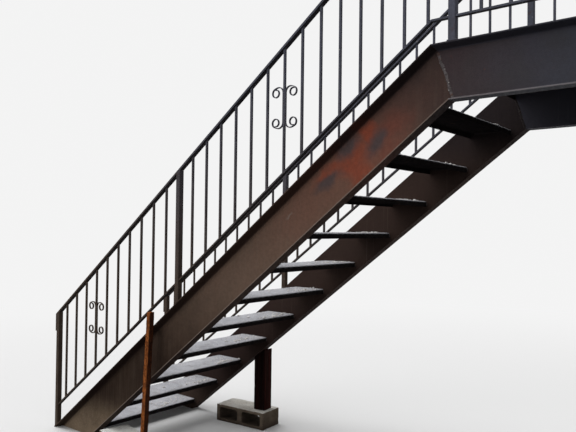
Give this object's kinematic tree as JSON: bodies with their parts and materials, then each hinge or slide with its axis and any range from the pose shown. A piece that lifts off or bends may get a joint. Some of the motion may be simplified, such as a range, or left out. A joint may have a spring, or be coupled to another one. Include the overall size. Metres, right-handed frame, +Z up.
{
  "type": "outdoor steel fire escape stair",
  "caption": "Straight outdoor steel stair with bent channel stringers, open bent-plate treads, a landing fixed to a wall, and picket railings.",
  "frame": {"origin": "on the wall face of the wall plate, midway across it and halfway down the landing channels", "axes": "+X into the wall, so the stair goes down towards -X; +Z up; -Y is the near side with the leaning prop"},
  "size_m": [4.5179, 1.283, 3.125],
  "materials": {
    "stringer_paint": "satin",
    "landing_paint": "satin",
    "railing_paint": "satin",
    "tread_plate": "matte",
    "rusty_steel": "matte",
    "stained_timber": "matte",
    "concrete": "matte"
  },
  "bodies": {
    "root": {"near_stringer": "stringer_paint", "far_stringer": "stringer_paint", "near_landing_channel": "landing_paint", "far_landing_channel": "landing_paint", "wall_plate": "landing_paint", "landing_deck": "tread_plate", "deck_bearer_1": "landing_paint", "deck_bearer_2": "landing_paint", "tread_1": "tread_plate", "tread_2": "tread_plate", "tread_3": "tread_plate", "tread_4": "tread_plate", "tread_5": "tread_plate", "tread_6": "tread_plate", "tread_7": "tread_plate", "tread_8": "tread_plate", "tread_9": "tread_plate", "tread_10": "tread_plate", "tread_11": "tread_plate", "near_top_rail": "railing_paint", "far_top_rail": "railing_paint", "near_bottom_rail": "railing_paint", "far_bottom_rail": "railing_paint", "near_foot_post": "railing_paint", "near_mid_post": "railing_paint", "near_knee_post": "railing_paint", "near_wall_post": "railing_paint", "far_foot_post": "railing_paint", "far_mid_post": "railing_paint", "far_knee_post": "railing_paint", "far_wall_post": "railing_paint", "near_lower_pickets": "railing_paint", "near_upper_pickets": "railing_paint", "near_landing_pickets": "railing_paint", "far_lower_pickets": "railing_paint", "far_upper_pickets": "railing_paint", "far_landing_pickets": "railing_paint", "near_lower_scrolls": "railing_paint", "near_upper_scrolls": "railing_paint", "far_lower_scrolls": "railing_paint", "far_upper_scrolls": "railing_paint", "near_prop": "rusty_steel", "far_prop": "stained_timber", "near_block": "concrete", "far_block": "concrete"}
  },
  "joints": []
}
